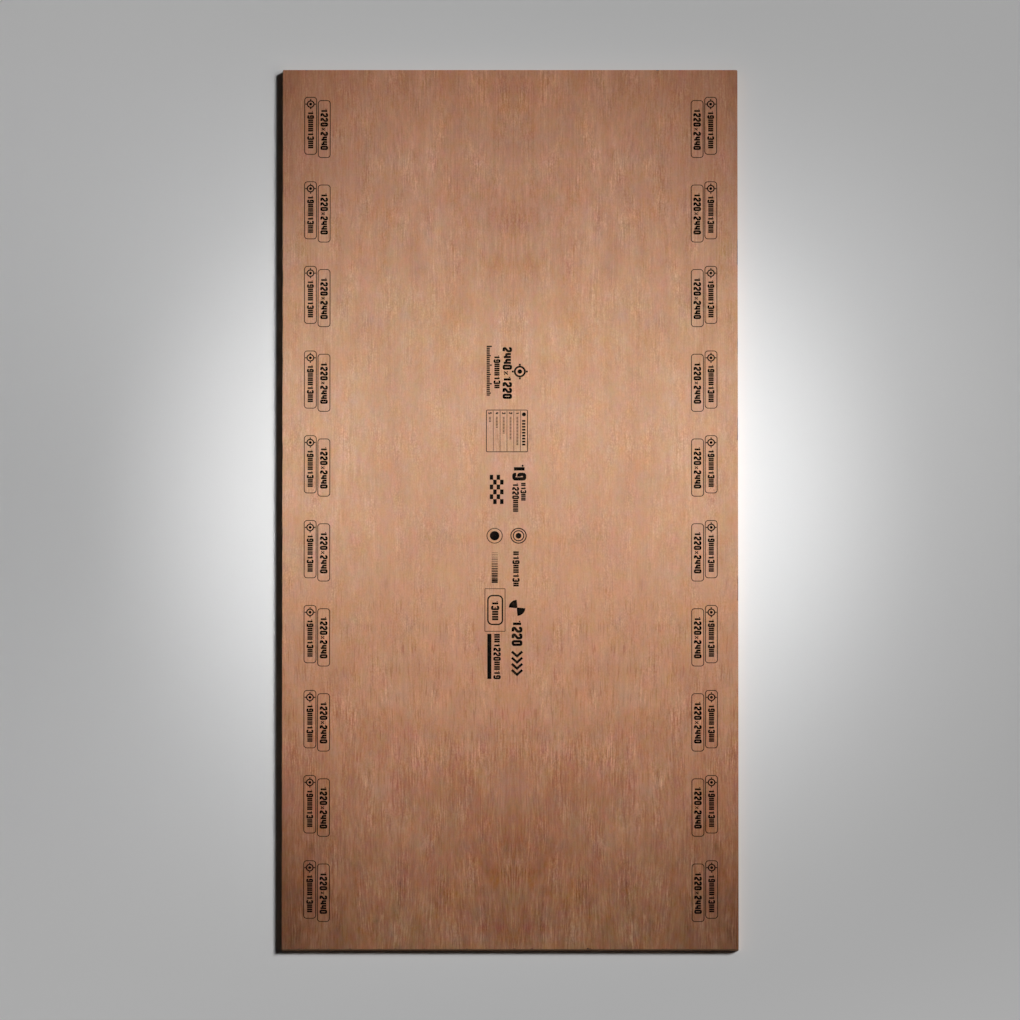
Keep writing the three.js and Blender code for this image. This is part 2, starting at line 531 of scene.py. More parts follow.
edgeLook = {  # the wood and the glue that the saw cuts show
    "sideGrain": {
        "wood": (0.555, 0.330, 0.190),
        "fine": (0.028, 0.00035, 1.0),  # noise: its cell's length along the edge and height, and its octaves
        "figure": (0.16, 0.0011, 2.0),
        "contrast": 0.55,
    },
    "endGrain": {
        "wood": (0.335, 0.170, 0.088),
        "fine": (0.00055, 0.0005, 1.0),
        "figure": (0.045, 0.0007, 2.0),
        "contrast": 0.75,
    },
    "plyTone": 0.38,  # how much one ply may differ from the next
    "plyShift": 9.0,  # how far its joints may lie from theirs, in lengths of a piece
    "pieceTone": 0.20,  # how much the pieces laid edge to edge within a ply may differ
    "pieceLength": 0.43,
    "pieceShift": 40.0,  # sets their noise apart
    "saw": (0.0013, 1.0, 1.0),  # its cells are far higher than the edge, so the marks run straight up
    "sawTone": 0.25,
    "sawDepth": 0.00004,
    "grainDepth": 0.6,  # against the saw marks
    "bump": 0.6,
    "toneShade": (0.8, 1.05, 1.25),  # how much of the tone each colour takes
    "gluedReach": (0.02, 0.16),  # the wood darkens towards a bond, in shares of a ply
    "gluedShade": 0.72,
    "roughness": 0.85,
    "specular": 0.2,
    "glue": (0.055, 0.022, 0.013),
    "glueClumps": (180.0, 3.0),  # in a metre, and octaves
    "glueLimits": (0.3, 0.7),
    "glueShades": (0.5, 1.9),
    "glueRoughness": 0.5,
    "glueSpecular": 0.3,
}


def edgeMaterial(name, grain, look):  # one kind of grain on the four saw cuts
    material, tree, shader = newMaterial(name)
    place = objectAxes(tree)
    run = maths(tree, "ADD", place[0], place[1])  # along any edge only one of them changes
    ply = addNode(tree, "ShaderNodeAttribute", attribute_name="plyLevel").outputs["Fac"]
    number = maths(tree, "FLOOR", ply)
    plyShade = addNode(tree, "ShaderNodeTexWhiteNoise", {"W": number}, noise_dimensions="1D")
    plyShade = plyShade.outputs["Value"]
    shifted = mixIn(tree, maths(tree, "DIVIDE", run, look["pieceLength"]), plyShade, look["plyShift"])
    piece = addNode(tree, "ShaderNodeCombineXYZ", {0: maths(tree, "FLOOR", shifted), 1: number}).outputs[0]
    pieceShade = addNode(tree, "ShaderNodeTexWhiteNoise", {"Vector": piece}, noise_dimensions="2D")
    pieceShade = pieceShade.outputs["Value"]
    layer = mixIn(tree, plyShade, pieceShade, look["pieceShift"])

    def grainNoise(length, height, octaves):
        cells = (maths(tree, "DIVIDE", run, length), maths(tree, "DIVIDE", place[2], height))
        return noiseAt(tree, (*cells, layer), octaves)

    fine = grainNoise(*grain["fine"])
    figure = grainNoise(*grain["figure"])
    saw = grainNoise(*look["saw"])
    tone = mixIn(tree, 1 - look["plyTone"] / 2, plyShade, look["plyTone"])
    tone = mixIn(tree, tone, pieceShade, look["pieceTone"])
    tone = mixIn(tree, tone, fine, grain["contrast"])
    tone = mixIn(tree, tone, figure, grain["contrast"])
    tone = mixIn(tree, tone, saw, look["sawTone"])
    within = maths(tree, "FRACT", ply)
    toBond = maths(tree, "MINIMUM", within, maths(tree, "SUBTRACT", 1.0, within))
    glued = remap(tree, toBond, *look["gluedReach"], look["gluedShade"], 1.0)
    tone = maths(tree, "SUBTRACT", maths(tree, "MULTIPLY", tone, glued), 1.0)
    colour = vectorMaths(tree, "MULTIPLY_ADD", tone, look["toneShade"], (1, 1, 1))
    height = mixIn(tree, saw, fine, look["grainDepth"])
    feed(tree, shader, {"Base Color": vectorMaths(tree, "MULTIPLY", colour, grain["wood"]),
                        "Normal": bumpFrom(tree, height, look["bump"], look["sawDepth"]),
                        "Roughness": look["roughness"], "Specular IOR Level": look["specular"]})
    return material


def glueMaterial(look):
    material, tree, shader = newMaterial("glueLine")
    clumps = patchesAt(tree, *look["glueClumps"])
    shade = remap(tree, clumps, *look["glueLimits"], *look["glueShades"])
    feed(tree, shader, {"Base Color": vectorMaths(tree, "MULTIPLY", shade, look["glue"]),
                        "Roughness": look["glueRoughness"], "Specular IOR Level": look["glueSpecular"]})
    return material


# The sheet's body: the sawn edges ply by ply, closed by the two faces.

sheetBodySizes = {
    "plies": 13,
    "faceVeneer": 0.0005,
    "glueLine": 0.0001,  # how much of the saw cut each bond takes up
    "glueSpread": 0.5,  # how far that varies, as a power of e
    "glueDepth": 0.00006,
    "bondDrift": 0.00022,  # how far a bond wanders from its level
    "driftLength": 0.065,
    "driftSpread": 0.5,  # how much of its full drift a bond mostly shows
    "relief": 0.0002,  # how far side grain stands back from the saw cut
    "arris": 0.0003,
    "arrisSteps": 3,
    "cornerRadius": 0.0015,
    "cornerSteps": 4,
    "cornerBruise": 0.0008,
    "bruiseReach": 0.009,
    "bruiseSteps": (0.15, 0.4, 0.7, 1.0),  # in shares of its reach
    "bruiseThrough": 0.15,  # how much of it reaches the middle plies
    "bruises": (0.2, 1.0),  # how much of it each corner has at its top and bottom
    "roughness": 0.00004,
    "columnStep": 0.016,
    "columnRoom": 0.3,  # how near a step may come to a flaw's own column, in shares of the step
    "columnGap": 0.00002,  # two columns closer than this would be one
    "flawMargin": 0.03,  # how far flaws keep from the corners
    "coreGaps": 34,  # where two pieces of a core ply don't quite meet
    "gapWidth": (0.0004, 0.0016),
    "gapDepth": (0.003, 0.008),
    "gapWall": 0.1,  # how far its walls slope, in shares of its width
    "endChips": 22,  # on each end and face, where the saw tore the veneer across its grain
    "endChipWidth": (0.0015, 0.008),
    "endChipDepth": (0.25, 0.50),  # of its width
    "sideSlivers": 12,  # on each long edge and face
    "sideSliverWidth": (0.012, 0.080),
    "sideSliverDepth": (0.01, 0.03),
    "tornPlaces": (-0.5, -0.44, -0.2, 0.06, 0.3, 0.5),  # across a chip or sliver, in shares of its width
    "tornDepth": (0.25, 1.0),  # at the places between its ends, in shares of its depth
    "rimWidth": 0.012,
    "faceStep": 0.031,
    "plyReach": (0.02, 0.98),  # what a ply's lower and upper rows are marked as, in shares of it
    "seed": 11,
}


def coreVeneer(sizes):
    return (thickness - 2 * sizes["faceVeneer"]) / (sizes["plies"] - 2)


def profileRows(sizes):  # from the underside up: height, ply (or None on a glue line) and inset
    rows = []
    top = 0.0
    last = sizes["plies"] - 1
    arris = []
    for step in range(sizes["arrisSteps"]):
        angle = pi / 2 * step / (sizes["arrisSteps"] - 1)
        arris.append((sizes["arris"] * (1 - cos(angle)), sizes["arris"] * (1 - sin(angle))))
    for ply in range(sizes["plies"]):
        bottom = top
        top = bottom + (sizes["faceVeneer"] if ply in (0, last) else coreVeneer(sizes))
        if ply == 0:
            rows += [(height, ply, inset) for height, inset in arris]
        else:
            rows.append((bottom, None, 0.0))
            rows.append((bottom + sizes["glueLine"] / 2, ply, 0.0))
        if ply == last:
            rows += [(thickness - height, ply, inset) for height, inset in reversed(arris)]
        else:
            rows.append((top - sizes["glueLine"] / 2, ply, 0.0))
    return rows


def edgeFlaws(sizes, rows, draw):  # each is a side, its places along it, its depths there and its rows
    flaws = []
    lengths = (halfLength, halfWidth)
    last = sizes["plies"] - 1

    def anywhere(half):
        return draw.uniform(sizes["flawMargin"] - half, half - sizes["flawMargin"])

    def rowsOf(ply):
        return [index for index, row in enumerate(rows) if row[1] == ply]

    for gap in range(sizes["coreGaps"]):
        ply = int(draw.integers(1, last))
        crosses = ply % 2  # a crossband shows its joints on the long edges, and the others on the ends
        middle = anywhere(lengths[0] if crosses else lengths[1])
        width = draw.uniform(*sizes["gapWidth"])
        wall = width * sizes["gapWall"]
        places = np.array([-width / 2 - wall, -width / 2, width / 2, width / 2 + wall])
        for side in ((0, 2) if crosses else (1, 3)):
            depth = draw.uniform(*sizes["gapDepth"])
            turned = middle if side < 2 else -middle
            flaws.append((side, turned + places, depth * np.array([0, 1, 1, 0]), rowsOf(ply)))
    for side in range(4):
        kind, count = (("endChip", sizes["endChips"]) if side % 2 else ("sideSliver", sizes["sideSlivers"]))
        for ply in (0, last):
            for chip in range(count):
                width = draw.uniform(*sizes[kind + "Width"])
                depth = width * draw.uniform(*sizes[kind + "Depth"])
                places = anywhere(lengths[side % 2]) + np.array(sizes["tornPlaces"]) * width
                torn = np.concatenate(([0], draw.uniform(*sizes["tornDepth"], len(places) - 2), [0]))
                flaws.append((side, places, depth * torn, rowsOf(ply)))
    return flaws


# The columns of points round the sheet run anticlockwise from the near end of its right edge.
def edgeColumns(sizes, flaws):  # each is a side, a place along it, a point on the saw cut and its normal
    radius = sizes["cornerRadius"]
    directions = [Vector((0, 1)), Vector((-1, 0)), Vector((0, -1)), Vector((1, 0))]
    reaches = [halfWidth, halfLength, halfWidth, halfLength]
    columns = []
    for side, direction in enumerate(directions):
        normal = Vector((direction.y, -direction.x))
        half = reaches[(side + 1) % 4] - radius
        wanted = {half, -half}
        for flawSide, places, depths, held in flaws:
            if flawSide == side:
                wanted.update(places)
        for share in sizes["bruiseSteps"]:
            wanted.update((half - share * sizes["bruiseReach"], share * sizes["bruiseReach"] - half))
        wanted = sorted(wanted)
        steps = ceil(2 * half / sizes["columnStep"])
        room = sizes["columnStep"] * sizes["columnRoom"]
        for step in range(1, steps):
            place = -half + 2 * half * step / steps
            near = np.searchsorted(wanted, place)
            if min(place - wanted[near - 1], wanted[near] - place) > room:
                wanted.insert(near, place)
        previous = None
        for place in wanted:
            if previous is None or place - previous > sizes["columnGap"]:
                columns.append((side, place, normal * reaches[side] + direction * place, normal))
                previous = place
        centre = normal * (reaches[side] - radius) + direction * half
        for step in range(1, sizes["cornerSteps"]):
            angle = pi / 2 * step / sizes["cornerSteps"]
            turned = normal * cos(angle) + direction * sin(angle)
            columns.append((side, half + radius * sin(angle), centre + turned * radius, turned))
    return columns


def edgeRecess(sizes, rows, columns, flaws, draw):  # how far each point stands back, row by column
    sides = np.array([column[0] for column in columns])
    places = np.array([column[1] for column in columns])
    endShare = np.array([column[3].y ** 2 for column in columns])
    recess = np.zeros((len(rows), len(columns)))
    for index, (height, ply, inset) in enumerate(rows):
        if ply is not None:
            recess[index] = inset + sizes["relief"] * (endShare if ply % 2 else 1 - endShare)
    for index, (height, ply, inset) in enumerate(rows):
        if ply is None:
            recess[index] = (recess[index - 1] + recess[index + 1]) / 2 + sizes["glueDepth"]
    for index in range(len(rows)):
        for side in range(4):
            here = np.flatnonzero(sides == side)
            end = places[here[-1]] + sizes["columnStep"]
            knots = np.arange(places[here[0]], end, sizes["columnStep"] / 2)
            rough = draw.normal(0, sizes["roughness"], len(knots))
            recess[index, here] += np.interp(places[here], knots, rough)
    for side, stations, depths, held in flaws:
        here = np.flatnonzero((sides == side) & (places >= stations[0]) & (places <= stations[-1]))
        recess[np.ix_(held, here)] += np.interp(places[here], stations, depths)
    middle = (np.array([row[0] for row in rows]) / thickness - 0.5) * 2
    lengths = (halfLength, halfWidth)
    for corner in range(4):
        before = np.where(sides == corner, lengths[corner % 2] - places, 1.0)
        after = np.where(sides == (corner + 1) % 4, places + lengths[(corner + 1) % 2], 1.0)
        closeness = np.clip(1 - np.minimum(before, after) / sizes["bruiseReach"], 0, 1) ** 2
        upper = draw.uniform(*sizes["bruises"]) * np.clip(middle, 0, 1) ** 2
        lower = draw.uniform(*sizes["bruises"]) * np.clip(-middle, 0, 1) ** 2
        through = sizes["bruiseThrough"]
        recess += np.outer(through + upper + lower, closeness) * sizes["cornerBruise"] / (1 + through)
    return np.maximum(recess, 0.0)


def rowLevels(sizes, rows, columns, draw):  # how high each point is, row by column, as the bonds wander
    bases = np.array([column[2] for column in columns])
    travel = np.concatenate(([0], np.cumsum(np.linalg.norm(np.roll(bases, -1, axis=0) - bases, axis=1))))
    knots = np.linspace(0, travel[-1], ceil(travel[-1] / sizes["driftLength"]) + 1)

    def wander():  # from -1 to 1, all round the sheet and back to its start
        values = np.clip(draw.normal(0, sizes["driftSpread"], len(knots) - 1), -1, 1)
        return np.interp(travel[:-1], knots, np.append(values, values[0]))

    levels = np.repeat([[row[0]] for row in rows], len(columns), axis=1)
    for index, (height, ply, inset) in enumerate(rows):
        if ply is None:
            room = min(1, min(height, thickness - height) / coreVeneer(sizes))  # less in a thin face veneer
            levels[index] += wander() * sizes["bondDrift"] * room
            spread = sizes["glueLine"] / 2 * np.exp(wander() * sizes["glueSpread"])
            levels[index - 1] = levels[index] - spread
            levels[index + 1] = levels[index] + spread
    return levels


def sawnEdges(sizes, rows, columns, recess, levels):  # their points, and each face with its material's name
    points = []
    for depths, heights in zip(recess, levels):
        for (side, place, base, normal), back, height in zip(columns, depths, heights):
            points.append((*(base - normal * back), height))
    faces = []
    count = len(columns)
    last = sizes["plies"] - 1
    for index, (lower, upper) in enumerate(zip(rows, rows[1:])):
        ply = lower[1] if lower[1] == upper[1] else None
        for number, (side, place, base, normal) in enumerate(columns):
            following = (number + 1) % count
            low = index * count
            high = low + count
            onLongEdge = abs(normal.x) > abs(normal.y)
            if ply is None:
                look = "glueLine"
            elif ply in (0, last):
                look = "faceVeneer" if ply else "backVeneer"
            else:
                look = "edgeEndGrain" if (ply % 2 == 1) == onLongEdge else "edgeSideGrain"
            faces.append(((low + number, low + following, high + following, high + number), look))
    return points, faces


def sewRim(outer, inner):  # closes a flat strip between two rows of (index, place) pairs
    triangles = []
    first = second = 0
    while first < len(outer) - 1 or second < len(inner) - 1:
        outerNext = second == len(inner) - 1
        if first < len(outer) - 1 and not outerNext:
            outerNext = outer[first + 1][1] <= inner[second + 1][1]
        if outerNext:
            triangles.append((outer[first][0], outer[first + 1][0], inner[second][0]))
            first += 1
        else:
            triangles.append((outer[first][0], inner[second + 1][0], inner[second][0]))
            second += 1
    return triangles


def rimStrip(sizes, columns, ring, height, points):  # its faces, and its inner points side by side
    faces = []
    rim = Vector((halfWidth, halfLength)) - Vector((sizes["rimWidth"], sizes["rimWidth"])) / 2
    rimPoints = []
    for side, place, base, normal in columns:  # the points near a corner all meet in the rim's own corner
        held = (min(max(base.x, -rim.x), rim.x), min(max(base.y, -rim.y), rim.y), height)
        if not rimPoints or held != points[-1]:
            points.append(held)
        rimPoints.append(len(points) - 1)
    if points[rimPoints[-1]] == points[rimPoints[0]]:
        points.pop()
        rimPoints = [rimPoints[0] if point == len(points) else point for point in rimPoints]
    rimSides = [[] for side in range(4)]
    for number, point in enumerate(rimPoints):
        following = (number + 1) % len(columns)
        quad = [ring + number, ring + following, rimPoints[following], point]
        faces.append(tuple(dict.fromkeys(quad)))
        side = columns[number][0]
        x, y, level = points[point]
        if not rimSides[side] or rimSides[side][-1][0] != point:
            rimSides[side].append((point, (y, -x, -y, x)[side]))
    return faces, rimSides


def faceGrid(sizes, height, points):  # its faces, and its points along each border
    faces = []
    inner = Vector((halfWidth, halfLength)) - Vector((sizes["rimWidth"], sizes["rimWidth"]))
    across = ceil(2 * inner.x / sizes["faceStep"])
    along = ceil(2 * inner.y / sizes["faceStep"])
    start = len(points)
    for row in range(along + 1):
        for column in range(across + 1):
            points.append((inner.x * (2 * column / across - 1), inner.y * (2 * row / along - 1), height))
    for row in range(along):
        for column in range(across):
            corner = start + row * (across + 1) + column
            faces.append((corner, corner + 1, corner + across + 2, corner + across + 1))
    borders = [
        [start + row * (across + 1) + across for row in range(along + 1)],
        [start + along * (across + 1) + column for column in range(across, -1, -1)],
        [start + row * (across + 1) for row in range(along, -1, -1)],
        [start + column for column in range(across + 1)],
    ]
    for side, border in enumerate(borders):
        half = (inner.y, inner.x)[side % 2]
        steps = len(border) - 1
        borders[side] = [(point, half * (2 * step / steps - 1)) for step, point in enumerate(border)]
    return faces, borders


def flatFace(sizes, columns, ring, height, faceUp, points):  # from the ring of points at one arris inwards
    rimFaces, rimSides = rimStrip(sizes, columns, ring, height, points)
    gridFaces, borders = faceGrid(sizes, height, points)
    faces = rimFaces + gridFaces
    for rimSide, border in zip(rimSides, borders):
        faces += sewRim(rimSide, border)
    look = "faceVeneer" if faceUp else "backVeneer"
    return [(face if faceUp else face[::-1], look) for face in faces]


def plyLevels(sizes, rows, columns, count):  # each point's ply, and whether it is low or high in it
    levels = np.zeros(count)
    for index, (height, ply, inset) in enumerate(rows):
        if ply is not None:
            upper = rows[min(index + 1, len(rows) - 1)][1] != ply
            levels[index * len(columns):(index + 1) * len(columns)] = ply + sizes["plyReach"][upper]
    return levels


def makeSheetBody(sizes, materials):
    draw = np.random.default_rng(sizes["seed"])
    rows = profileRows(sizes)
    flaws = edgeFlaws(sizes, rows, draw)
    columns = edgeColumns(sizes, flaws)
    recess = edgeRecess(sizes, rows, columns, flaws, draw)
    levels = rowLevels(sizes, rows, columns, draw)
    points, faces = sawnEdges(sizes, rows, columns, recess, levels)
    faces += flatFace(sizes, columns, 0, 0.0, False, points)
    faces += flatFace(sizes, columns, (len(rows) - 1) * len(columns), thickness, True, points)
    mesh = makeMesh("sheetBody", points, [face for face, look in faces], materials)
    slots = {material.name: index for index, material in enumerate(materials)}
    mesh.polygons.foreach_set("material_index", [slots[look] for face, look in faces])
    plyLevel = mesh.attributes.new(name="plyLevel", type="FLOAT", domain="POINT")
    plyLevel.data.foreach_set("value", plyLevels(sizes, rows, columns, len(points)))
    mesh.update()
    body = addObject("sheetBody", mesh)
    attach(body, "root")
    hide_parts("plywood_sheet")
    return body


sheetBody = makeSheetBody(sheetBodySizes, [
    faceVeneer,
    backVeneer,
    edgeMaterial("edgeSideGrain", edgeLook["sideGrain"], edgeLook),
    edgeMaterial("edgeEndGrain", edgeLook["endGrain"], edgeLook),
    glueMaterial(edgeLook),
])
print("sheet body closed,", len(sheetBody.data.polygons), "faces")


# The printed marks: plain scales, size numbers and test shapes, with nothing to read but figures.

inkLook = {
    "proud": 0.00004,  # how far the print stands on the face, and how far its pieces reach into it
    "ink": (0.0030, 0.0024, 0.0020),
    "patches": (45.0, 3.0),  # in a metre, and octaves
    "patchLimits": (0.50, 0.72),
    "worn": 0.025,
    "poreLimits": (-0.55, -0.25),  # the ink bridges the open pores
    "poreMissed": 3.5,
    "bump": (0.3, 0.0001),
    "roughness": 0.62,
    "specular": 0.03,
}

digitShape = {
    "width": 0.57,  # all in shares of the digit's height
    "stroke": 0.245,
    "gap": 0.065,
    "bar": 0.13,  # the stroke of a figure's small bars
    "bend": 0.11,
    "bendSteps": 4,
}

# The centre lines of stencilled figures, in a box from (0, 0) to (1, 1). All ten are here, so that
# another size, ply count or number of rows can be printed.
digitLines = {
    "0": [("ring", [(0, 0), (1, 0), (1, 1), (0, 1)])],
    "1": [("plain", [(0.70, 1), (0.70, 0)]), ("bar", [(-0.10, 0.74), (0.12, 0.88)])],
    "2": [("bent", [(0, 0.74), (0, 1), (1, 1), (1, 0.56), (0, 0.22), (0, 0), (1, 0)])],
    "3": [
        ("bent", [(0, 0.78), (0, 1), (1, 1), (1, 0), (0, 0), (0, 0.22)]),
        ("bar", [(0.15, 0.5), (0.6, 0.5)]),
    ],
    "4": [("bent", [(0, 1), (0, 0.36), (0.62, 0.36)]), ("plain", [(1, 1), (1, 0)])],
    "5": [("bent", [(1, 1), (0, 1), (0, 0.56), (1, 0.56), (1, 0), (0, 0), (0, 0.22)])],
    "6": [("bent", [(1, 0.78), (1, 1), (0, 1), (0, 0), (1, 0), (1, 0.54), (0.47, 0.54)])],
    "7": [("bent", [(0, 1), (1, 1), (1, 0.72), (0.30, 0)])],
    "8": [("ring", [(0, 0), (1, 0), (1, 1), (0, 1)]), ("bar", [(0.40, 0.5), (0.60, 0.5)])],
    "9": [("bent", [(0, 0.22), (0, 0), (1, 0), (1, 1), (0, 1), (0, 0.46), (0.53, 0.46)])],
    "x": [
        ("bar", [(0, 0.05), (1, 0.58)]),
        ("bar", [(0, 0.58), (0.3, 0.42)]),
        ("bar", [(0.7, 0.21), (1, 0.05)]),
    ],
    "|": [("plain", [(0.04, 0), (0.04, 1)]), ("plain", [(0.96, 0), (0.96, 1)])],
}


def rounded(points, radius, steps, closed=False):  # the same line with its corners turned into arcs
    line = []
    count = len(points)
    for index, point in enumerate(points):
        corner = Vector(point)
        if not closed and index in (0, count - 1):
            line.append(corner)
            continue
        before = Vector(points[index - 1]) - corner
        after = Vector(points[(index + 1) % count]) - corner
        half = before.angle(after) / 2
        shortest = min(before.length, after.length)
        reach = min(radius / tan(half), shortest * 0.49)  # under half, so two bends never meet
        turn = reach * tan(half)
        towards = (before.normalized() + after.normalized()).normalized()
        centre = corner + towards * (turn / sin(half))
        start = corner + before.normalized() * reach - centre
        end = corner + after.normalized() * reach - centre
        for step in range(steps + 1):
            line.append(centre + start.slerp(end, step / steps).normalized() * turn)
    return line


roundShape = {  # in shares of the radius
    "discLine": 0.51,  # a disc is a ring so wide that only a pinhole is left in its middle
    "discStroke": 0.96,
    "targetDot": 0.46,
    "targetArms": (1.22, 1.60),  # from where to where each one reaches
}


def circle(centre, radius, steps=32):
    angles = [2 * pi * step / steps for step in range(steps)]
    return [Vector(centre) + radius * Vector((cos(angle), sin(angle))) for angle in angles]


def addRibbon(mark, line, width, closed=False):  # a flat closed bar of ink along a line
    points, faces = mark
    line = [Vector(point) for point in line]
    count = len(line)
    start = len(points)
    for index, point in enumerate(line):
        before = point - line[index - 1] if closed or index else line[1] - point
        after = line[(index + 1) % count] - point if closed or index < count - 1 else before
        first = Vector((-before.y, before.x)).normalized()
        second = Vector((-after.y, after.x)).normalized()
        left = (first + second) * (width / 2 / (1 + first.dot(second)))
        for spot in (point - left, point + left):
            for height in (-inkLook["proud"], inkLook["proud"]):
                points.append((spot.y, -spot.x, height))  # read downwards, with the tops to the right
    for index in range(count if closed else count - 1):
        low, high = start + 4 * index, start + 4 * ((index + 1) % count)
        faces.append((low + 1, high + 1, high + 3, low + 3))
        faces.append((low + 2, high + 2, high, low))
        faces.append((low, high, high + 1, low + 1))
        faces.append((high + 2, low + 2, low + 3, high + 3))
    if not closed:
        end = start + 4 * (count - 1)
        faces.append((start + 2, start, start + 1, start + 3))
        faces.append((end, end + 2, end + 3, end + 1))


def addFigures(mark, text, at, height):  # at is the lower left corner
    shape = digitShape
    stroke = shape["stroke"] * height
    width = shape["width"] * height - stroke
    tall = height - stroke
    left = at[0] + stroke / 2
    for figure in text:
        for kind, line in digitLines[figure]:
            line = [(left + x * width, at[1] + stroke / 2 + y * tall) for x, y in line]
            if kind in ("ring", "bent"):
                line = rounded(line, shape["bend"] * height, shape["bendSteps"], closed=kind == "ring")
            addRibbon(mark, line, shape["bar"] * height if kind == "bar" else stroke, closed=kind == "ring")
        left += width + stroke + shape["gap"] * height


def addFrame(mark, low, size, bend, stroke, bendSteps=5):
    (left, bottom), (right, top) = low, (low[0] + size[0], low[1] + size[1])
    corners = [(left, bottom), (right, bottom), (right, top), (left, top)]
    addRibbon(mark, rounded(corners, bend, bendSteps, closed=True), stroke, closed=True)


def addDisc(mark, centre, radius, steps=24):
    line = circle(centre, radius * roundShape["discLine"], steps)
    addRibbon(mark, line, radius * roundShape["discStroke"], closed=True)


def addTarget(mark, centre, radius, stroke):  # a ring with a dot in it and four arms outside it
    addRibbon(mark, circle(centre, radius), stroke, closed=True)
    addDisc(mark, centre, radius * roundShape["targetDot"])
    for turn in range(4):
        arm = Vector((cos(pi / 2 * turn), sin(pi / 2 * turn)))
        ends = [Vector(centre) + arm * radius * share for share in roundShape["targetArms"]]
        addRibbon(mark, ends, stroke)


def addQuarters(mark, centre, radius, steps=8):  # a disc with every second quarter inked
    reach = radius * roundShape["discLine"]
    for turn in (0, pi):
        arc = [turn + pi / 2 * step / steps for step in range(steps + 1)]
        line = [Vector(centre) + reach * Vector((cos(angle), sin(angle))) for angle in arc]
        addRibbon(mark, line, radius * roundShape["discStroke"])


def addBars(mark, low, size, count, fill):  # upright bars side by side, which print as a tint
    pitch = size[0] / count
    for number in range(count):
        middle = low[0] + pitch * (number + 0.5)
        addRibbon(mark, [(middle, low[1]), (middle, low[1] + size[1])], pitch * fill)


def inkMaterial(look, figure):
    material, tree, shader = newMaterial("blackInk")
    wood = addNode(tree, "ShaderNodeGroup", node_tree=figure).outputs
    thin = remap(tree, patchesAt(tree, *look["patches"]), *look["patchLimits"], 0.0, look["worn"])
    missed = remap(tree, wood["Height"], *look["poreLimits"], look["poreMissed"], 1.0)
    thin = maths(tree, "MULTIPLY", thin, missed)
    feed(tree, shader, {"Base Color": blendColour(tree, thin, (*look["ink"], 1), wood["Colour"]),
                        "Normal": bumpFrom(tree, wood["Height"], *look["bump"]),
                        "Roughness": look["roughness"], "Specular IOR Level": look["specular"]})
    return material


# Geometry Nodes trees that repeat a mark at even steps. Their sizes are named inputs.

def newRowTree(name, inputs):
    tree = bpy.data.node_groups.new(name, "GeometryNodeTree")
    tree.interface.new_socket("Geometry", in_out="INPUT", socket_type="NodeSocketGeometry")
    tree.interface.new_socket("Geometry", in_out="OUTPUT", socket_type="NodeSocketGeometry")
    inputs = {"Count": "Int", "Start": "Vector", "Step": "Vector", "Ink": "Material", **inputs}
    sockets = {}
    for label, kind in inputs.items():
        socket = tree.interface.new_socket(label, in_out="INPUT", socket_type="NodeSocket" + kind)
        sockets[label] = socket.identifier
    given = addNode(tree, "NodeGroupInput").outputs
    line = addNode(tree, "GeometryNodeMeshLine", {"Count": given["Count"], "Start Location": given["Start"],
                                                  "Offset": given["Step"]})
    return tree, sockets, given, line.outputs[0]


def endRowTree(tree, copies, ink):
    copies = addNode(tree, "GeometryNodeInstanceOnPoints", copies).outputs[0]
    real = addNode(tree, "GeometryNodeRealizeInstances", {0: copies}).outputs[0]
    inked = addNode(tree, "GeometryNodeSetMaterial", {"Geometry": real, "Material": ink}).outputs[0]
    addNode(tree, "NodeGroupOutput", {0: inked})


def makeMarkTree():  # copies of one mark
    tree, sockets, given, line = newRowTree("markRow", {})
    endRowTree(tree, {"Points": line, "Instance": given["Geometry"]}, given["Ink"])
    return tree, sockets


def makeTickTree():  # a ruler's ticks: every fifth one is longer, and every tenth one is the longest
    inputs = {"Tick Length": "Float", "Tick Width": "Float", "Tick Height": "Float", "Longer": "Float"}
    tree, sockets, given, line = newRowTree("tickRow", inputs)
    block = addNode(tree, "GeometryNodeMeshCube", {"Size": (1, 1, 1)}).outputs[0]
    block = addNode(tree, "GeometryNodeTransform", {0: block, "Translation": (0.5, 0, 0)}).outputs[0]
    index = addNode(tree, "GeometryNodeInputIndex").outputs[0]
    length = 1.0
    for every in (5.0, 10.0):
        chosen = maths(tree, "COMPARE", maths(tree, "MODULO", index, every), 0.0, 0.1)
        length = mixIn(tree, length, chosen, given["Longer"])
    length = maths(tree, "MULTIPLY", length, given["Tick Length"])
    size = {0: length, 1: given["Tick Width"], 2: given["Tick Height"]}
    size = addNode(tree, "ShaderNodeCombineXYZ", size).outputs[0]
    endRowTree(tree, {"Points": line, "Instance": block, "Scale": size}, given["Ink"])
    return tree, sockets


def growPiece(name, mesh, tree, sockets, values):  # runs a tree on a mesh and keeps the plain result
    seed = addObject(name + "Seed", mesh)
    modifier = seed.modifiers.new(name, "NODES")
    modifier.node_group = tree
    for label, value in values.items():
        modifier[sockets[label]] = value
    grown = bpy.data.meshes.new_from_object(seed.evaluated_get(bpy.context.evaluated_depsgraph_get()))
    seed.modifiers.remove(modifier)
    bpy.data.objects.remove(seed)
    grown.name = name
    return grown


def placePrint(name, mesh, at):
    mesh.transform(Matrix.Translation((*at, thickness)))
    printed = addObject(name, mesh)
    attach(printed, "root")


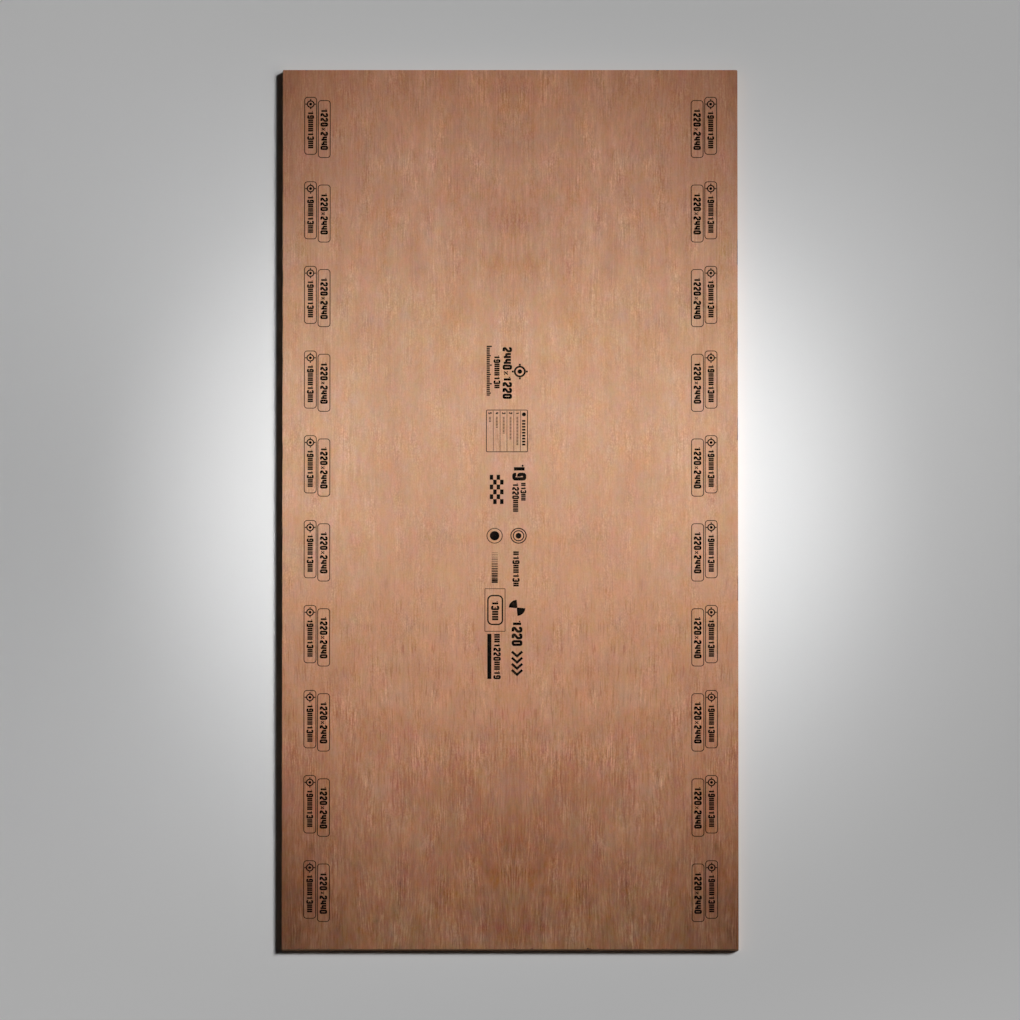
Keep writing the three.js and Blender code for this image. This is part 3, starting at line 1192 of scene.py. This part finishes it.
sideMarks = {
    "count": 10,
    "pitch": 0.2355,
    "columns": {"leftMarks": -0.5170, "rightMarks": 0.5200},
    "length": 0.168,
    "stripWidth": 0.0320,
    "stripGap": 0.0045,
    "stripShift": 0.009,  # one strip starts further along than the other
    "bend": 0.008,
    "outline": 0.0021,
    "sizes": "1220x2440",
    "sizesStart": 0.022,  # from the start of their strip
    "sizesHeight": 0.0205,
    "plies": "19|||13||",  # thickness in millimetres, ply count and bars
    "pliesStart": 0.038,
    "pliesHeight": 0.0185,
    "target": (0.019, 0.0088, 0.0034),  # start, radius and stroke
}


def makeSideMark(sizes, swapped):  # two strips side by side, each with figures or test shapes in it
    mark = ([], [])
    wide = sizes["stripWidth"]
    aside = (wide + sizes["stripGap"]) / 2 * (-1 if swapped else 1)
    for kind, middle, shift in (("sizes", aside, sizes["stripShift"]), ("plies", -aside, 0)):
        start = shift - sizes["length"] / 2
        size = (sizes["length"] - sizes["stripShift"], wide)
        addFrame(mark, (start, middle - wide / 2), size, sizes["bend"], sizes["outline"])
        if kind == "plies":
            place, radius, stroke = sizes["target"]
            addTarget(mark, (start + place, middle), radius, stroke)
        tall = sizes[kind + "Height"]
        addFigures(mark, sizes[kind], (start + sizes[kind + "Start"], middle - tall / 2), tall)
    return mark


# The print down the middle. A place is first along the print, towards the near end, then across it.

centrePrint = {
    "left": -0.0685,  # the print's left side, in X
    "far": 0.4480,  # its far end, in Y
    "outline": 0.0021,
    "figures": [  # place, height, and figures: sizes, plies and bars
        ((0.000, 0.0482), 0.0255, "2440x1220"),
        ((0.022, 0.0240), 0.0185, "19|||13|"),
        ((0.325, 0.0740), 0.0380, "19"),
        ((0.377, 0.0960), 0.0160, "|13||"),
        ((0.377, 0.0740), 0.0185, "1220|||"),
        ((0.567, 0.0745), 0.0195, "|19||13|"),
        ((0.758, 0.0725), 0.0290, "1220"),
        ((0.796, 0.0235), 0.0200, "||1220||19"),
    ],
    "target": ((0.068, 0.0945), 0.0135, 0.0050),  # centre, radius and stroke
    "quarters": ((0.724, 0.0870), 0.0225),  # centre and radius
    "bar": ([(0.796, 0.0130), (0.921, 0.0130)], 0.0110),  # ends and width
}

ruler = {
    "start": (0.0055, -0.002),
    "pitch": 0.0052,
    "count": 27,
    "tickLength": 0.0088,
    "tickWidth": 0.0037,
    "longer": 0.3,  # how much longer every fifth tick is, in shares of a tick, and every tenth one twice
}

ruledCard = {
    "place": (0.175, 0.0050),
    "size": (0.116, 0.110),
    "bend": 0.003,
    "rows": 5,
    "number": (0.006, 0.005),  # its place in a row
    "numberHeight": 0.0095,
    "tint": (0.018, 0.007),
    "tintSize": (0.016, 0.005),  # it grows by its length in each row
    "tintBars": 4,  # and by so many bars
    "tintFill": 0.5,
    "ruleStroke": 0.6,  # times the outline
    "disc": (0.012, 0.0095),  # from the near left corner of the head
    "discRadius": 0.0055,
    "head": (0.026, 0.0145),
    "headSize": (0.074, 0.009),
    "headBars": 9,
    "headFill": 0.6,
}


def addRuledCard(mark, card, line):  # a framed chart: a number, a tint and a rule in each row, and a head
    along, across = card["place"]
    wide, tall = card["size"]
    addFrame(mark, card["place"], card["size"], card["bend"], line)
    pitch = tall / (card["rows"] + 1)
    for row in range(card["rows"]):
        low = across + pitch * row
        number = (along + card["number"][0], low + card["number"][1])
        addFigures(mark, str(card["rows"] - row), number, card["numberHeight"])
        reach, height = card["tintSize"]
        tint = (along + card["tint"][0], low + card["tint"][1])
        addBars(mark, tint, (reach * (row + 1), height), card["tintBars"] * (row + 1), card["tintFill"])
        rule = [(along + line, low + pitch), (along + wide - line, low + pitch)]
        addRibbon(mark, rule, line * card["ruleStroke"])
    top = across + tall
    addDisc(mark, (along + card["disc"][0], top - card["disc"][1]), card["discRadius"])
    head = (along + card["head"][0], top - card["head"][1])
    addBars(mark, head, card["headSize"], card["headBars"], card["headFill"])


chequers = {
    "place": (0.355, 0.0186),
    "square": (0.0135, 0.0092),
    "count": (6, 4),
}


def addChequers(mark, sizes):
    columns, rows = sizes["count"]
    along, across = sizes["square"]
    for column in range(columns):
        for row in range(column % 2, rows, 2):
            start = (sizes["place"][0] + along * column, sizes["place"][1] + across * row)
            addRibbon(mark, [start, (start[0] + along, start[1])], across)


roundMarks = {  # each has rings round a disc
    "place": (0.524, 0.0270),
    "apart": 0.0640,
    "ring": 0.0205,
    "disc": 0.0130,
    "innerRing": 0.0140,  # in the second one
    "innerDisc": 0.0080,
    "ringStroke": 1.4,  # times the outline
}


def addRoundMarks(mark, sizes, line):
    along, across = sizes["place"]
    addRibbon(mark, circle((along, across), sizes["ring"]), line, closed=True)
    addDisc(mark, (along, across), sizes["disc"])
    other = (along, across + sizes["apart"])
    for ring in ("ring", "innerRing"):
        addRibbon(mark, circle(other, sizes[ring]), line * sizes["ringStroke"], closed=True)
    addDisc(mark, other, sizes["innerDisc"])


tintWedge = {
    "place": (0.569, 0.0190),
    "steps": 6,
    "pitch": 0.0145,
    "size": (0.0135, 0.0165),
    "bars": 3,
    "fill": (0.22, 0.13),  # at its start, and what each step adds
}


def addWedge(mark, sizes):  # ever darker tints
    palest, darker = sizes["fill"]
    for step in range(sizes["steps"]):
        low = (sizes["place"][0] + sizes["pitch"] * step, sizes["place"][1])
        addBars(mark, low, sizes["size"], sizes["bars"], palest + darker * step)


framedFigure = {
    "frame": ((0.671, 0.0010), (0.118, 0.0540), 0.001),  # place, size and bend
    "frameStroke": 0.8,  # times the outline
    "plate": ((0.690, 0.0090), (0.080, 0.0390), 0.012),
    "plateStroke": 1.8,
    "figures": ("13||", (0.704, 0.0175), 0.0220),
}


def addFramedFigure(mark, sizes, line):
    addFrame(mark, *sizes["frame"], line * sizes["frameStroke"])
    addFrame(mark, *sizes["plate"], line * sizes["plateStroke"])
    addFigures(mark, *sizes["figures"])


grainArrow = {
    "place": (0.858, 0.0870),
    "count": 4,
    "pitch": 0.017,
    "size": (0.013, 0.0140),  # from the tip back, and out to each side
    "stroke": 0.0066,
}


def addGrainArrow(mark, sizes):  # chevrons pointing along the grain
    along, across = sizes["place"]
    back, out = sizes["size"]
    for step in range(sizes["count"]):
        tip = along + sizes["pitch"] * step
        line = [(tip - back, across + out), (tip, across), (tip - back, across - out)]
        addRibbon(mark, line, sizes["stroke"])


def makeCentrePrint(sizes):
    mark = ([], [])
    line = sizes["outline"]
    for place, height, figures in sizes["figures"]:
        addFigures(mark, figures, place, height)
    addTarget(mark, *sizes["target"])
    addRuledCard(mark, ruledCard, line)
    addChequers(mark, chequers)
    addRoundMarks(mark, roundMarks, line)
    addWedge(mark, tintWedge)
    addFramedFigure(mark, framedFigure, line)
    addQuarters(mark, *sizes["quarters"])
    addGrainArrow(mark, grainArrow)
    addRibbon(mark, *sizes["bar"])
    return mark


def printSides(sizes, ink):
    tree, sockets = makeMarkTree()
    values = {
        "Count": sizes["count"],
        "Start": (0, sizes["pitch"] * (sizes["count"] - 1) / 2, 0),
        "Step": (0, -sizes["pitch"], 0),
        "Ink": ink,
    }
    for name, place in sizes["columns"].items():
        mark = makeMesh(name, *makeSideMark(sizes, swapped=place > 0), [ink])
        placePrint(name, growPiece(name, mark, tree, sockets, values), (place, 0))


def printCentre(sizes, scale, ink):
    corner = (sizes["left"], sizes["far"])
    placePrint("centreFigures", makeMesh("centreFigures", *makeCentrePrint(sizes), [ink]), corner)
    across, along = scale["start"]
    values = {
        "Count": scale["count"],
        "Start": (across, -along, 0),
        "Step": (0, -scale["pitch"], 0),
        "Tick Length": scale["tickLength"],
        "Tick Width": scale["tickWidth"],
        "Tick Height": 2 * inkLook["proud"],
        "Longer": scale["longer"],
        "Ink": ink,
    }
    bare = bpy.data.meshes.new("centreScale")
    placePrint("centreScale", growPiece("centreScale", bare, *makeTickTree(), values), corner)


blackInk = inkMaterial(inkLook, faceFigure)
printSides(sideMarks, blackInk)
printCentre(centrePrint, ruler, blackInk)
print("marks printed")
